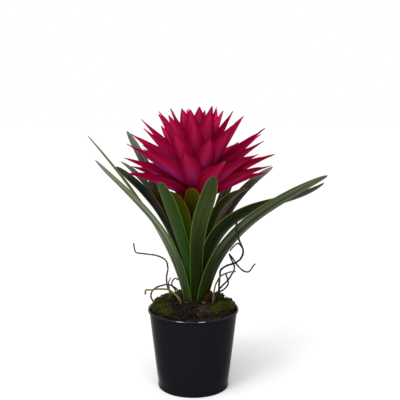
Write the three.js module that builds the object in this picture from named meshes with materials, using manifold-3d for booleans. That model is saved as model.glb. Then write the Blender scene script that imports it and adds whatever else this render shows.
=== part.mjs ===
// Potted bromeliad: a rosette of strap leaves round a short stem, a crimson head of bracts,
// wiry air roots, and a mound of soil with moss in a tapered black pot.
// Millimetres, +Z up. The origin is the centre of the pot's flat underside, and the
// plant's front faces -Y.

import * as THREE from 'three';
import { mergeVertices } from 'three/addons/utils/BufferGeometryUtils.js';
import Module from 'manifold-3d';

const wasm = await Module();
wasm.setup();

// ---- Driving dimensions: millimetres and degrees ----

const GAP = 0.3; // clearance between pieces that touch
const LOOSE_GAP = 0.4; // clearance round the roots and under the moss

const POT = {
  height: 110, rimRadius: 62.3, lipHeight: 3.2, lipProud: 1.5, footRadius: 49, footHeight: 11,
  footStep: 0.5, wall: 2.2, floor: 3, edge: 1.2, facets: 44,
};

const SOIL = {
  edgeHeight: 106, crownHeight: 124, crownPower: 3.2, lump: 1.4, facets: 24,
  rings: [57.6, 52, 44, 34, 22, 0],
};

// The rosette's axis, the height of the leaf bases in the soil, and the hole round them.
const PLANT = {
  x: 5, y: 0, baseHeight: 116, holeRadius: 20.4, holeMouth: 27, holeDepth: 20, holeFacets: 16,
};

const STEM = { bottom: 72, caudexRadius: 7.4, caudexTop: 150, neckTop: 200, scapeRadius: 4.6, facets: 12 };

// Radius of each whorl of leaf bases round the stem, from the outermost to the innermost.
const WHORL = { A: 16.4, B: 14.5, C: 12.6, D: 10.7, E: 8.8 };

const BLADE = { baseThickness: 1.5, tipThickness: 0.7, minWidth: 0.9, tipRound: 14 };
// Half of the angle that a leaf's section bends through, at the same stations as its widths.
const CUP = { middle: 40, inner: 70, upper: 24, tip: 10 };

// Rows and columns of faces along and across a blade. Rows lie closer together towards the tip.
const GRID = {
  leaf: { columns: 4, rows: 9 }, innerLeaf: { columns: 4, rows: 7 }, sheath: { columns: 4, rows: 4 },
  bract: { columns: 2, rows: 4 }, tipCrowding: 0.5,
};

// Azimuth 0 is +X and -90 is the front. The midrib's heading turns by sway. Its pitch passes
// from the first to the last of the rises, as the width does through the widths, and roll is
// the turn of the blade about its midrib at the tip.
const BROAD = [9, 13, 27, 17];
const LEAVES = [
  { name: 'leaf_right_front', whorl: 'A', azimuth: -63, sway: 48, length: 283,
    rises: [75, 42, 35, 28], widths: [17, 22, 18, 14], roll: -40 },
  { name: 'leaf_left_long', whorl: 'A', azimuth: -133, sway: -28, length: 252,
    rises: [79, 64, 35, 49], widths: [12, 15, 17, 11], roll: 20 },
  { name: 'leaf_left_edge', whorl: 'A', azimuth: 178, sway: 0, length: 266,
    rises: [80, 62, 50, 51], widths: [11, 14, 19, 9], roll: 0 },
  { name: 'leaf_back_right_low', whorl: 'A', azimuth: 26, sway: 0, length: 222,
    rises: [86, 90, 40, 27], widths: [11, 14, 24, 10], roll: 22 },
  { name: 'leaf_back_low', whorl: 'A', azimuth: 105, sway: 2, length: 228,
    rises: [78, 64, 52, 38], widths: [11, 14, 26, 15], roll: 0 },
  { name: 'leaf_front_centre', whorl: 'B', azimuth: -92, sway: 23, length: 243,
    rises: [80, 62, 14, 64], widths: [15, 17, 23, 20], roll: -8 },
  { name: 'leaf_left_dark', whorl: 'B', azimuth: -158, sway: -17, length: 220,
    rises: [85, 74, 60, 36], widths: [11, 18, 25, 12], roll: -36 },
  { name: 'leaf_back_left_high', whorl: 'B', azimuth: 140, sway: -2, length: 262,
    rises: [79, 66, 56, 50], widths: [11, 14, 25, 15], roll: 0 },
  { name: 'leaf_back_right_tall', whorl: 'B', azimuth: 97, sway: 0, length: 204,
    rises: [83, 70, 58, 50], widths: [10, 13, 25, 15], roll: 0 },
  { name: 'leaf_right_back', whorl: 'C', azimuth: -52, sway: 42, length: 272,
    rises: [89, 80, -20, 37], widths: [13, 34, 28, 9], roll: -36 },
  { name: 'leaf_front_left', whorl: 'C', azimuth: -117, sway: 9, length: 212,
    rises: [88, 52, 65, 40], widths: [11, 18, 23, 15], roll: 0 },
  { name: 'leaf_back_left_low', whorl: 'C', azimuth: 156, sway: 3, length: 224,
    rises: [83, 72, 64, 28], widths: [11, 17, 27, 14], roll: 0 },
  { name: 'leaf_back_right_high', whorl: 'C', azimuth: 66, sway: -8, length: 237,
    rises: [88, 50, 36, 54], widths: [9, 12, 19, 13], roll: 14 },
  { name: 'leaf_inner_left', whorl: 'D', azimuth: 162, sway: 0, length: 170,
    rises: [84, 80, 78, 40], widths: [9, 13, 30, 12], roll: -30 },
  { name: 'leaf_inner_front_left', whorl: 'D', azimuth: -119, sway: 2, length: 186,
    rises: [84, 80, 82, 26], widths: [8, 10, 32, 20], roll: 0 },
  { name: 'leaf_inner_right_front', whorl: 'D', azimuth: -39, sway: 12, length: 192,
    rises: [87, 90, 78, 13], widths: [8, 6, 38, 8], roll: -26 },
  { name: 'leaf_inner_right', whorl: 'D', azimuth: 20, sway: 0, length: 148,
    rises: [84, 90, 86, 34], widths: [9, 12, 22, 14], roll: 0 },
  { name: 'leaf_inner_back_right', whorl: 'D', azimuth: 86, sway: 0, length: 170,
    rises: [86, 84, 78, 50], widths: BROAD, roll: 0 },
  { name: 'leaf_inner_front', whorl: 'E', azimuth: -98, sway: 2, length: 178,
    rises: [88, 88, 74, 48], widths: [8, 6, 28, 22], roll: 0 },
  { name: 'leaf_inner_back', whorl: 'E', azimuth: 112, sway: 0, length: 164,
    rises: [88, 88, 76, 50], widths: BROAD, roll: 0 },
];

// A short red-brown leaf base that shows low on the right of the front.
const SHEATH = {
  azimuth: -49, radius: 19.5, length: 26, rises: [76, 71, 66, 62], widths: [15, 20, 13, 4],
  cups: [24, 24, 22, 18], baseThickness: 1.2, tipThickness: 0.8, minWidth: 2,
};

const HEAD = {
  x: 6.6, y: 0, bottom: 256, socketTop: 274, bracts: 54, goldenAngle: 137.508, firstAngle: 17, seed: 4566,
  core: [[0, 256], [7, 256], [13, 262], [25, 275], [30, 290], [20, 310], [0, 318]], coreFacets: 12,
};

// Bracts go from spreading at the foot of the head to upright at its top. Those at the front
// stand nearer to upright than the rest, by the share frontLift.
const BRACT = {
  lowRoot: 259, highRoot: 303, rootRadius: 12, lengths: [100, 111, 114, 75], lengthVaries: 3.4,
  lowRise: 17, highRise: 85, crowding: 1.28, riseVaries: 5, arch: [12, 11, -3, -7],
  headingVaries: 3, rollVaries: 5, frontLift: 0.25,
  widths: [6, 64, 30, 1], cups: [40, 80, 60, 30], baseThickness: 1.4, tipThickness: 0.7, minWidth: 0.8,
};

const ROOT = { sides: 6, step: 7.5 };

// Wiry air roots. Each runs smoothly through its points, from down in the soil to its free end.
const ROOTS = [
  { name: 'root_left_tall', diameter: 2.1, dark: true,
    points: [[-29, -2, 110], [-29, -2, 127], [-33, -4, 136], [-36, -6, 147], [-36, -8, 157],
      [-34, -9, 167], [-37, -10, 179], [-49, -11, 186], [-67, -9, 188], [-77, -8, 190],
      [-79, -7, 195], [-80, -6, 202]] },
  { name: 'root_left_arch', diameter: 2.3, dark: true,
    points: [[-17, -14, 110], [-17, -13, 127], [-22, -14, 140], [-32, -16, 147], [-44, -18, 146],
      [-54, -18, 140], [-57, -17, 132], [-53, -15, 120]] },
  { name: 'root_left_pale', diameter: 2.6, dark: false,
    points: [[-16, -21, 110], [-17, -21, 125], [-22, -21, 133], [-31, -22, 141], [-43, -23, 143],
      [-55, -24, 142], [-63, -25, 142], [-64, -26, 136]] },
  { name: 'root_left_loop', diameter: 2.0, dark: true,
    points: [[-21, -5, 110], [-21, -6, 127], [-25, -6, 138], [-29, -6, 144], [-28, -8, 150],
      [-24, -9, 154], [-20, -9, 152]] },
  { name: 'root_left_stub', diameter: 1.9, dark: false,
    points: [[-32, 7, 110], [-32, 7, 124], [-33, 7, 134], [-34, 6, 143], [-31, 5, 151]] },
  { name: 'root_right_curl', diameter: 2.6, dark: true,
    points: [[34, -8, 110], [35, -8, 127], [35, -9, 140], [36, -11, 156], [37, -16, 167],
      [44, -25, 175], [54, -35, 181], [62, -49, 191], [64, -64, 205], [59, -78, 220],
      [54, -88, 235], [54, -92, 247]] },
  { name: 'root_right_hairpin', diameter: 2.2, dark: true,
    points: [[32, 2, 110], [33, 2, 123], [35, 1, 135], [42, 0, 143], [52, -1, 156], [56, -2, 168],
      [51, -4, 180], [49, -8, 187], [52, -12, 184], [59, -14, 174], [67, -14, 166],
      [75, -13, 164], [80, -12, 170], [84, -11, 175]] },
  { name: 'root_right_olive', diameter: 2.3, dark: false,
    points: [[27, -17, 110], [27, -17, 126], [28, -17, 137], [31, -19, 149], [37, -21, 160],
      [48, -23, 166], [57, -24, 167]] },
  { name: 'root_right_bow', diameter: 2.2, dark: true,
    points: [[27, -26, 110], [28, -26, 127], [33, -26, 138], [43, -27, 145], [47, -27, 153],
      [43, -26, 165]] },
];

// Side branch of the curled root.
const BRANCH = {
  diameter: 1.9, points: [[63.5, -67, 208.5], [58, -66, 214.5], [52, -62, 210], [48, -58, 203]],
};

// Patches of moss cushions, each on an arc round the mound.
const MOSS = { ring: 47, spread: 6, cushion: 10.5, rise: 6.5, spacing: 14, trim: 57.2, seed: 3 };
const MOSS_ARCS = [
  { name: 'moss_left', from: 148, to: 228 },
  { name: 'moss_right', from: -46, to: 38 },
  { name: 'moss_back', from: 62, to: 124 },
];

const COLOUR = {
  pot: '#15151a', soil: '#2b211c', moss: '#4a4d1c', stem: '#5c6b32', leaf: '#3c4f2b',
  innerLeaf: '#4d5a1f', sheath: '#7c241c', bract: '#a0103c', darkRoot: '#4a3430', paleRoot: '#77704a',
};

// ---- Helpers ----

const radians = THREE.MathUtils.degToRad;
const degrees = THREE.MathUtils.radToDeg;
const lerp = THREE.MathUtils.lerp;

/** Cubic Bezier blend of four control values. */
function blend(s, [a, b, c, d]) {
  const t = 1 - s;
  return a * t ** 3 + 3 * b * s * t ** 2 + 3 * c * s ** 2 * t + d * s ** 3;
}

/** Seeded source of numbers from 0 to 1. */
function seededRandom(seed) {
  let state = seed;
  return () => {
    state = (state * 16807) % 2147483647;
    return state / 2147483647;
  };
}

/** A named mesh with the plain material of its colour. */
function piece(name, geometry, color, roughness) {
  const material = new THREE.MeshStandardMaterial({ color, roughness, metalness: 0 });
  const mesh = new THREE.Mesh(geometry, material);
  mesh.name = name;
  return mesh;
}

/** Closed geometry, its shared vertices merged, as a solid for joining and cutting. */
function solidOf(geometry) {
  geometry.deleteAttribute('normal');
  geometry.deleteAttribute('uv');
  const merged = mergeVertices(geometry, 1e-4);
  const triVerts = [];
  for (let i = 0; i < merged.index.count; i += 3) {
    const [a, b, c] = merged.index.array.slice(i, i + 3);
    if (a !== b && b !== c && c !== a) triVerts.push(a, b, c);
  }
  return new wasm.Manifold(new wasm.Mesh({
    numProp: 3,
    vertProperties: new Float32Array(merged.attributes.position.array),
    triVerts: new Uint32Array(triVerts),
  }));
}

/** A solid's surface as geometry again. */
function geometryOf(solid) {
  const mesh = solid.getMesh();
  const geometry = new THREE.BufferGeometry();
  geometry.setAttribute('position', new THREE.BufferAttribute(new Float32Array(mesh.vertProperties), 3));
  geometry.setIndex(new THREE.BufferAttribute(new Uint32Array(mesh.triVerts), 1));
  return geometry;
}

/** The largest connected skin of a solid: its sealed hollows are filled and its scraps dropped. */
function wholeOf(solid) {
  return solid.decompose().reduce((best, part) => (part.volume() > best.volume() ? part : best));
}

/** Moves every vertex by a rule that changes the Vector3 it is given. */
function displaced(geometry, rule) {
  const position = geometry.attributes.position;
  const point = new THREE.Vector3();
  for (let i = 0; i < position.count; i += 1) {
    rule(point.fromBufferAttribute(position, i));
    position.setXYZ(i, point.x, point.y, point.z);
  }
  return geometry;
}

/** A solid turned about +Z from its profile of [radius, height] points. */
function turned(profile, facets) {
  const points = profile.map(([radius, height]) => new THREE.Vector2(radius, height));
  return new THREE.LatheGeometry(points, facets).rotateX(Math.PI / 2);
}

/** A round bar along a curve. */
function bar(curve, radius, steps) {
  const section = new THREE.Shape();
  for (let i = 0; i <= ROOT.sides; i += 1) {
    const angle = (2 * Math.PI * i) / ROOT.sides;
    const corner = [radius * Math.cos(angle), radius * Math.sin(angle)];
    if (i === 0) section.moveTo(...corner);
    else section.lineTo(...corner);
  }
  return new THREE.ExtrudeGeometry(section, { steps, bevelEnabled: false, extrudePath: curve });
}

// ---- Blades: leaves and bracts ----

/** Place along a blade of the row at share v of its rows. */
function station(v) {
  return v + (GRID.tipCrowding * Math.sin(Math.PI * v)) / Math.PI;
}

/** Direction of the midrib, and the sideways direction, at a place along a blade. */
function bearing({ azimuth, sway = 0, rises }, s) {
  const heading = radians(azimuth + sway * s ** 1.5);
  const pitch = radians(blend(s, rises));
  const level = Math.cos(pitch);
  return {
    along: new THREE.Vector3(level * Math.cos(heading), level * Math.sin(heading), Math.sin(pitch)),
    side: new THREE.Vector3(-Math.sin(heading), Math.cos(heading), 0),
  };
}

/** Midrib of a blade, as a list of frames from its base to its tip. */
function midrib(shape, rows) {
  const frames = [];
  const point = shape.start.clone();
  const fine = 8;
  for (let row = 0; row <= rows; row += 1) {
    const s = station(row / rows);
    const { along, side } = bearing(shape, s);
    frames.push({ s, point: point.clone(), side, up: along.cross(side) });
    const reach = station((row + 1) / rows) - s;
    for (let i = 0; i < fine; i += 1) {
      const { along: step } = bearing(shape, s + (reach * (i + 0.5)) / fine);
      point.addScaledVector(step, (shape.length * reach) / fine);
    }
  }
  return frames;
}

/**
 * A thin closed blade on its midrib: two skins that are split into triangles alike, and the rim
 * between them. Its section is an arc that is hollow on the upper side.
 */
function blade(shape, { columns, rows }) {
  const { widths, cups, roll = 0, baseThickness, tipThickness, minWidth, tipRound } = shape;
  const frames = midrib(shape, rows);
  const skin = (face) => displaced(new THREE.PlaneGeometry(2, 1, columns, rows), (vertex) => {
    const { s, point, side, up } = frames[Math.round((vertex.y + 0.5) * rows)];
    const rounding = tipRound ? Math.sqrt(Math.max(0, 1 - s ** tipRound)) : 1;
    const half = Math.max(minWidth, blend(s, widths) * rounding) / 2;
    const cup = radians(blend(s, cups));
    const arcRadius = half / cup;
    const radius = arcRadius - (face * lerp(baseThickness, tipThickness, s)) / 2;
    const lateral = radius * Math.sin(cup * vertex.x);
    const lift = arcRadius - radius * Math.cos(cup * vertex.x);
    const turn = radians(roll * Math.sin((s * Math.PI) / 2));
    vertex.copy(point);
    vertex.addScaledVector(side, lateral * Math.cos(turn) - lift * Math.sin(turn));
    vertex.addScaledVector(up, lateral * Math.sin(turn) + lift * Math.cos(turn));
  });
  return closedBetween(skin(-1), skin(1), columns, rows);
}

/** Joins two like grids, back to back, into one closed body with a strip between their rims. */
function closedBetween(front, back, columns, rows) {
  const perRow = columns + 1;
  const rim = [];
  for (let i = 0; i < columns; i += 1) rim.push(i);
  for (let j = 0; j < rows; j += 1) rim.push(j * perRow + columns);
  for (let i = columns; i > 0; i -= 1) rim.push(rows * perRow + i);
  for (let j = rows; j > 0; j -= 1) rim.push(j * perRow);
  const offset = front.attributes.position.count;
  const index = [...front.index.array];
  for (let i = 0; i < back.index.count; i += 3) {
    const [a, b, c] = back.index.array.slice(i, i + 3);
    index.push(a + offset, c + offset, b + offset);
  }
  rim.forEach((near, i) => {
    const next = rim[(i + 1) % rim.length];
    index.push(near, next, next + offset, near, next + offset, near + offset);
  });
  const points = [...front.attributes.position.array, ...back.attributes.position.array];
  const geometry = new THREE.BufferGeometry();
  geometry.setAttribute('position', new THREE.Float32BufferAttribute(points, 3));
  geometry.setIndex(index);
  return geometry;
}

/** Shape of a leaf whose base wraps round the stem at a radius. */
function leafShape(leaf, radius) {
  const heading = radians(leaf.azimuth);
  const start = new THREE.Vector3(
    PLANT.x + radius * Math.cos(heading), PLANT.y + radius * Math.sin(heading), PLANT.baseHeight,
  );
  const baseCup = degrees(leaf.widths[0] / 2 / radius);
  const middleCup = radius > WHORL.C ? CUP.middle : CUP.inner;
  return { cups: [baseCup, middleCup, CUP.upper, CUP.tip], ...BLADE, ...leaf, start };
}

function leaves() {
  return LEAVES.map((leaf) => {
    const inner = leaf.name.includes('inner');
    const geometry = blade(leafShape(leaf, WHORL[leaf.whorl]), inner ? GRID.innerLeaf : GRID.leaf);
    return piece(leaf.name, geometry, inner ? COLOUR.innerLeaf : COLOUR.leaf, 0.45);
  });
}

function sheath() {
  const geometry = blade({ ...leafShape(SHEATH, SHEATH.radius), tipRound: 0 }, GRID.sheath);
  return piece('basal_sheath', geometry, COLOUR.sheath, 0.6);
}

// ---- Stem and bract head ----

/** The stem leans a little, from upright in the soil to the head's own axis. */
function stemLean(height) {
  const share = THREE.MathUtils.smoothstep(height, STEM.caudexTop, HEAD.bottom);
  return lerp(PLANT.x, HEAD.x, share);
}

function stem() {
  const { bottom, caudexRadius, caudexTop, neckTop, scapeRadius, facets } = STEM;
  const top = HEAD.socketTop - GAP;
  const profile = [[0, bottom], [caudexRadius, bottom], [caudexRadius, caudexTop], [scapeRadius, neckTop]];
  const middle = (neckTop + HEAD.bottom) / 2;
  profile.push([scapeRadius, middle], [scapeRadius, HEAD.bottom], [scapeRadius, top], [0, top]);
  const geometry = displaced(turned(profile, facets), (vertex) => { vertex.x += stemLean(vertex.z); });
  return piece('stem', geometry, COLOUR.stem, 0.6);
}

/** Shape of one bract, by its place in the spiral from the foot of the head to its top. */
function bractShape(order, random) {
  const share = order / (HEAD.bracts - 1);
  const slack = 1 - share;
  const azimuth = HEAD.firstAngle + order * HEAD.goldenAngle + BRACT.headingVaries * (2 * random() - 1);
  const heading = radians(azimuth);
  const reach = BRACT.rootRadius * Math.sin(Math.PI * (0.25 + 0.75 * share));
  const start = new THREE.Vector3(
    HEAD.x + reach * Math.cos(heading), HEAD.y + reach * Math.sin(heading),
    lerp(BRACT.lowRoot, BRACT.highRoot, share),
  );
  const evenRise = lerp(BRACT.lowRise, BRACT.highRise, share ** BRACT.crowding)
    + BRACT.riseVaries * slack * (2 * random() - 1);
  const front = Math.max(0, -Math.sin(heading)) ** 2;
  const rise = lerp(evenRise, BRACT.highRise, BRACT.frontLift * front);
  const length = blend(share, BRACT.lengths) + BRACT.lengthVaries * (2 * random() - 1);
  const rises = BRACT.arch.map((turn) => rise + turn * slack);
  const roll = BRACT.rollVaries * slack * (2 * random() - 1);
  return { ...BRACT, azimuth, start, length, rises, roll };
}

function bractHead() {
  const random = seededRandom(HEAD.seed);
  const core = turned(HEAD.core, HEAD.coreFacets).translate(HEAD.x, HEAD.y, 0);
  const parts = [solidOf(core)];
  for (let order = 0; order < HEAD.bracts; order += 1) {
    parts.push(solidOf(blade(bractShape(order, random), GRID.bract)));
  }
  const depth = HEAD.socketTop - HEAD.bottom + 2;
  const socketRadius = STEM.scapeRadius + GAP;
  const socket = new THREE.CylinderGeometry(socketRadius, socketRadius, depth, STEM.facets);
  socket.rotateX(Math.PI / 2).translate(HEAD.x, HEAD.y, HEAD.socketTop - depth / 2);
  const head = wholeOf(wasm.Manifold.union(parts)).subtract(solidOf(socket));
  return piece('bract_head', geometryOf(head), COLOUR.bract, 0.5);
}

// ---- Air roots ----

function rootCurve({ points }) {
  return new THREE.CatmullRomCurve3(points.map((point) => new THREE.Vector3(...point)), false, 'centripetal');
}

function rootSolid(root, extra = 0) {
  const curve = rootCurve(root);
  return solidOf(bar(curve, root.diameter / 2 + extra, Math.round(curve.getLength() / ROOT.step)));
}

function roots() {
  return ROOTS.map((root) => {
    const branched = root.name === 'root_right_curl';
    const solid = branched ? rootSolid(root).add(rootSolid(BRANCH)) : rootSolid(root);
    return piece(root.name, geometryOf(solid), root.dark ? COLOUR.darkRoot : COLOUR.paleRoot, 0.7);
  });
}

/** Everything that the roots' plain holes take out of the soil and the moss. */
function rootHoles() {
  const holes = ROOTS.flatMap((root) => {
    const end = new THREE.SphereGeometry(root.diameter / 2 + 2 * GAP, 6, 4).translate(...root.points[0]);
    return [rootSolid(root, LOOSE_GAP), solidOf(end)];
  });
  return wasm.Manifold.union(holes);
}

// ---- Pot, soil and moss ----

/** Radius of the pot's outer wall at a height above the foot band. */
function potRadius(height) {
  const share = (height - POT.footHeight) / (POT.height - POT.footHeight);
  return lerp(POT.footRadius + POT.footStep, POT.rimRadius - POT.lipProud, share);
}

function pot() {
  const { height, rimRadius, lipHeight, footRadius, footHeight, footStep, wall, floor, edge } = POT;
  const lipBottom = height - lipHeight;
  const profile = [
    [0, 0], [footRadius - edge, 0], [footRadius, edge], [footRadius, footHeight],
    [footRadius + footStep, footHeight + footStep], [potRadius(lipBottom), lipBottom],
    [rimRadius, lipBottom + footStep], [rimRadius, height - edge / 2], [rimRadius - edge / 2, height],
    [potRadius(height) - wall, height], [potRadius(footHeight) - wall, footHeight],
    [footRadius - wall, floor], [0, floor],
  ];
  return piece('pot', turned(profile, POT.facets), COLOUR.pot, 0.2);
}

/** Height of the soil's surface: a flattened mound with crumbly lumps. */
function soilHeight(x, y) {
  const fall = Math.min(1, Math.hypot(x, y) / SOIL.rings[0]) ** SOIL.crownPower;
  const lumps = Math.sin(0.31 * x + 1.3) * Math.cos(0.27 * y + 0.4) + 0.6 * Math.sin(0.52 * y - 0.38 * x);
  return lerp(SOIL.crownHeight, SOIL.edgeHeight, fall) + SOIL.lump * lumps * (1 - 0.6 * fall);
}

/** The soil that fills the pot, before its holes are bored. */
function soilBody() {
  const inside = (height) => potRadius(height) - POT.wall - GAP;
  const brim = SOIL.edgeHeight - 2;
  const base = POT.floor + GAP;
  const profile = [[0, base], [POT.footRadius - POT.wall - GAP, base]];
  profile.push([inside(POT.footHeight), POT.footHeight], [inside(brim), brim]);
  SOIL.rings.forEach((radius) => profile.push([radius, SOIL.edgeHeight]));
  return displaced(turned(profile, SOIL.facets), (vertex) => {
    if (vertex.z > brim + 1) vertex.z = soilHeight(vertex.x, vertex.y);
  });
}

/** The holes that the stem and the ring of leaf bases stand in. */
function plantHoles() {
  const { x, y, baseHeight, holeRadius, holeMouth, holeDepth, holeFacets } = PLANT;
  const floor = baseHeight - GAP;
  const ring = new THREE.CylinderGeometry(holeMouth, holeRadius, holeDepth, holeFacets);
  ring.rotateX(Math.PI / 2).translate(x, y, floor + holeDepth / 2);
  const depth = baseHeight - STEM.bottom + 2 * GAP;
  const shaftRadius = STEM.caudexRadius + GAP;
  const shaft = new THREE.CylinderGeometry(shaftRadius, shaftRadius, depth, STEM.facets);
  shaft.rotateX(Math.PI / 2).translate(x, y, STEM.bottom - GAP + depth / 2);
  return solidOf(ring).add(solidOf(shaft));
}

function soilAndMoss() {
  const soil = solidOf(soilBody());
  const holes = plantHoles().add(rootHoles());
  const meshes = [piece('soil', geometryOf(soil.subtract(holes)), COLOUR.soil, 0.95)];
  const random = seededRandom(MOSS.seed);
  const trim = solidOf(new THREE.CylinderGeometry(MOSS.trim, MOSS.trim, 80, SOIL.facets)
    .rotateX(Math.PI / 2).translate(0, 0, SOIL.crownHeight));
  const lifted = soil.translate([0, 0, LOOSE_GAP]);
  MOSS_ARCS.forEach((arc) => {
    const patch = mossCushions(arc, random).intersect(trim).subtract(lifted).subtract(holes);
    meshes.push(piece(arc.name, geometryOf(patch), COLOUR.moss, 1));
  });
  return meshes;
}

/** Squashed round cushions along an arc, each overlapping the next. */
function mossCushions({ from, to }, random) {
  const count = Math.round((radians(to - from) * MOSS.ring) / MOSS.spacing);
  const cushions = [];
  for (let i = 0; i <= count; i += 1) {
    const angle = radians(lerp(from, to, i / count));
    const ring = MOSS.ring + MOSS.spread * (2 * random() - 1);
    const size = MOSS.cushion * (0.85 + 0.4 * random());
    const [x, y] = [ring * Math.cos(angle), ring * Math.sin(angle)];
    const cushion = new THREE.SphereGeometry(1, 7, 4).rotateX(Math.PI / 2);
    cushion.scale(size, size, MOSS.rise).rotateZ(3 * random()).translate(x, y, soilHeight(x, y));
    cushions.push(solidOf(cushion));
  }
  return wasm.Manifold.union(cushions);
}

// ---- The whole plant ----

const bromeliad = new THREE.Group();
bromeliad.add(pot(), ...soilAndMoss(), stem(), ...leaves(), sheath(), bractHead(), ...roots());

export default bromeliad;
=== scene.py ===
"""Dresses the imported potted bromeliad: pot, soil, moss, air roots, leaves, stem and bract head.

Every size is in metres, +Z is up, the plant's front faces -Y, and the origin is the centre
of the pot's flat underside.
"""

import math
import random

import bmesh
import bpy
from bpy.props import FloatProperty, FloatVectorProperty, IntProperty, PointerProperty
from mathutils import Matrix, Vector, noise


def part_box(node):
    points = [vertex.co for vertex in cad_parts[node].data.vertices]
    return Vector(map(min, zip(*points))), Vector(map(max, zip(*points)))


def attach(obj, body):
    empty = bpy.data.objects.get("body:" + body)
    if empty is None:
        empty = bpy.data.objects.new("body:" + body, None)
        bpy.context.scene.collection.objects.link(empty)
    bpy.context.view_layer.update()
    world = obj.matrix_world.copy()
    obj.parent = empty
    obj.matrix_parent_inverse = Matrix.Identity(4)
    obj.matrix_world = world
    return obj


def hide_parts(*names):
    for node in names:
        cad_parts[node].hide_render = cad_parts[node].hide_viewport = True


bl_info = {
    "name": "Potted bromeliad",
    "version": (1, 0, 0),
    "blender": (4, 5, 0),
    "location": "View3D > Sidebar > Bromeliad",
    "description": "Builds the pot, soil, moss, roots, leaves and bract head round the packed frame",
    "category": "Object",
}

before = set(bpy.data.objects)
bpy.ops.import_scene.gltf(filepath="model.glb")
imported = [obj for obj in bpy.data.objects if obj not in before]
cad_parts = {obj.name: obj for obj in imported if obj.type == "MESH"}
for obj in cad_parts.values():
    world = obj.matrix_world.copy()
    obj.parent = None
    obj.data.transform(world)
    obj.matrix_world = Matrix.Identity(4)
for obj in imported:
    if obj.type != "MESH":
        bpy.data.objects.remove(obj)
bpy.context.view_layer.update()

MM = 0.001
_, POT_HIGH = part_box("pot")
STEM_LOW, STEM_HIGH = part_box("stem")


def shade(colour):
    """Linear colour, with alpha, of a hex code. Anything else stays as it is."""
    if not isinstance(colour, str):
        return colour
    channels = [int(colour[i:i + 2], 16) / 255 for i in (1, 3, 5)]
    return (*((c / 12.92 if c <= 0.04045 else ((c + 0.055) / 1.055) ** 2.4) for c in channels), 1.0)


def darker(colour, factor):
    return (*(channel * factor for channel in shade(colour)[:3]), 1.0)


# ---- Shapes that are the same as in the frame: millimetres and degrees ----

PLANT = {"x": 5, "y": 0, "base_height": 116}
WHORL = {"A": 16.4, "B": 14.5, "C": 12.6, "D": 10.7, "E": 8.8}
CUP = {"middle": 40, "inner": 70, "upper": 24, "tip": 10}
TIP_CROWDING = 0.5

BROAD = (9, 13, 27, 17)
LEAF = {"min_width": 0.9, "tip_round": 14, "fold": 0.1}

# Name: whorl, azimuth, sway, length, rises, widths, roll, finish.
LEAVES = {
    "leaf_right_front": ("A", -63, 48, 283, (75, 42, 35, 28), (17, 22, 18, 14), -40, "sheen"),
    "leaf_left_long": ("A", -133, -28, 252, (79, 64, 35, 49), (12, 15, 17, 11), 20, "streaked"),
    "leaf_left_edge": ("A", 178, 0, 266, (80, 62, 50, 51), (11, 14, 19, 9), 0, "edge"),
    "leaf_back_right_low": ("A", 26, 0, 222, (86, 90, 40, 27), (11, 14, 24, 10), 22, "dusky"),
    "leaf_back_low": ("A", 105, 2, 228, (78, 64, 52, 38), (11, 14, 26, 15), 0, "fresh"),
    "leaf_front_centre": ("B", -92, 23, 243, (80, 62, 14, 64), (15, 17, 23, 20), -8, "fresh"),
    "leaf_left_dark": ("B", -158, -17, 220, (85, 74, 60, 36), (11, 18, 25, 12), -36, "dark"),
    "leaf_back_left_high": ("B", 140, -2, 262, (79, 66, 56, 50), (11, 14, 25, 15), 0, "grey"),
    "leaf_back_right_tall": ("B", 97, 0, 204, (83, 70, 58, 50), (10, 13, 25, 15), 0, "grey"),
    "leaf_right_back": ("C", -52, 42, 272, (89, 80, -20, 37), (13, 34, 28, 9), -36, "deep"),
    "leaf_front_left": ("C", -117, 9, 212, (88, 52, 65, 40), (11, 18, 23, 15), 0, "leafy"),
    "leaf_back_left_low": ("C", 156, 3, 224, (83, 72, 64, 28), (11, 17, 27, 14), 0, "grey"),
    "leaf_back_right_high": ("C", 66, -8, 237, (88, 50, 36, 54), (9, 12, 19, 13), 14, "dusky"),
    "leaf_inner_left": ("D", 162, 0, 170, (84, 80, 78, 40), (9, 13, 30, 12), -30, "shaded"),
    "leaf_inner_front_left": ("D", -119, 2, 186, (84, 80, 82, 26), (8, 10, 32, 20), 0, "golden"),
    "leaf_inner_right_front": ("D", -39, 12, 192, (87, 90, 78, 13), (8, 6, 38, 8), -26, "olive"),
    "leaf_inner_right": ("D", 20, 0, 148, (84, 90, 86, 34), (9, 12, 22, 14), 0, "shaded"),
    "leaf_inner_back_right": ("D", 86, 0, 170, (86, 84, 78, 50), BROAD, 0, "golden"),
    "leaf_inner_front": ("E", -98, 2, 178, (88, 88, 74, 48), (8, 6, 28, 22), 0, "olive"),
    "leaf_inner_back": ("E", 112, 0, 164, (88, 88, 76, 50), BROAD, 0, "olive"),
}

SHEATH = {
    "azimuth": -49, "radius": 19.5, "length": 26, "rises": (76, 71, 66, 62),
    "widths": (15, 20, 13, 4), "cups": (24, 24, 22, 18), "min_width": 2, "tip_round": 0,
    "base_thickness": 1.2, "tip_thickness": 0.8, "wave": 1.2,
}

HEAD = {
    "x": 6.6, "y": 0, "bracts": 54, "golden_angle": 137.508, "first_angle": 17, "seed": 4566,
    "foot_height": 256, "core_height": 290, "core_radius": 24,
}
BRACT = {
    "low_root": 259, "high_root": 303, "root_radius": 12, "lengths": (100, 111, 114, 75),
    "length_varies": 3.4, "low_rise": 17, "high_rise": 85, "crowding": 1.28, "rise_varies": 5,
    "arch": (12, 11, -3, -7), "heading_varies": 3, "roll_varies": 5, "front_lift": 0.25,
    "widths": (6, 64, 30, 1), "cups": (40, 80, 60, 30),
    "base_thickness": 1.4, "tip_thickness": 0.7, "min_width": 0.8, "tip_round": 0,
    "fold": 0.12, "wave": 1.2,
}

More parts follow.
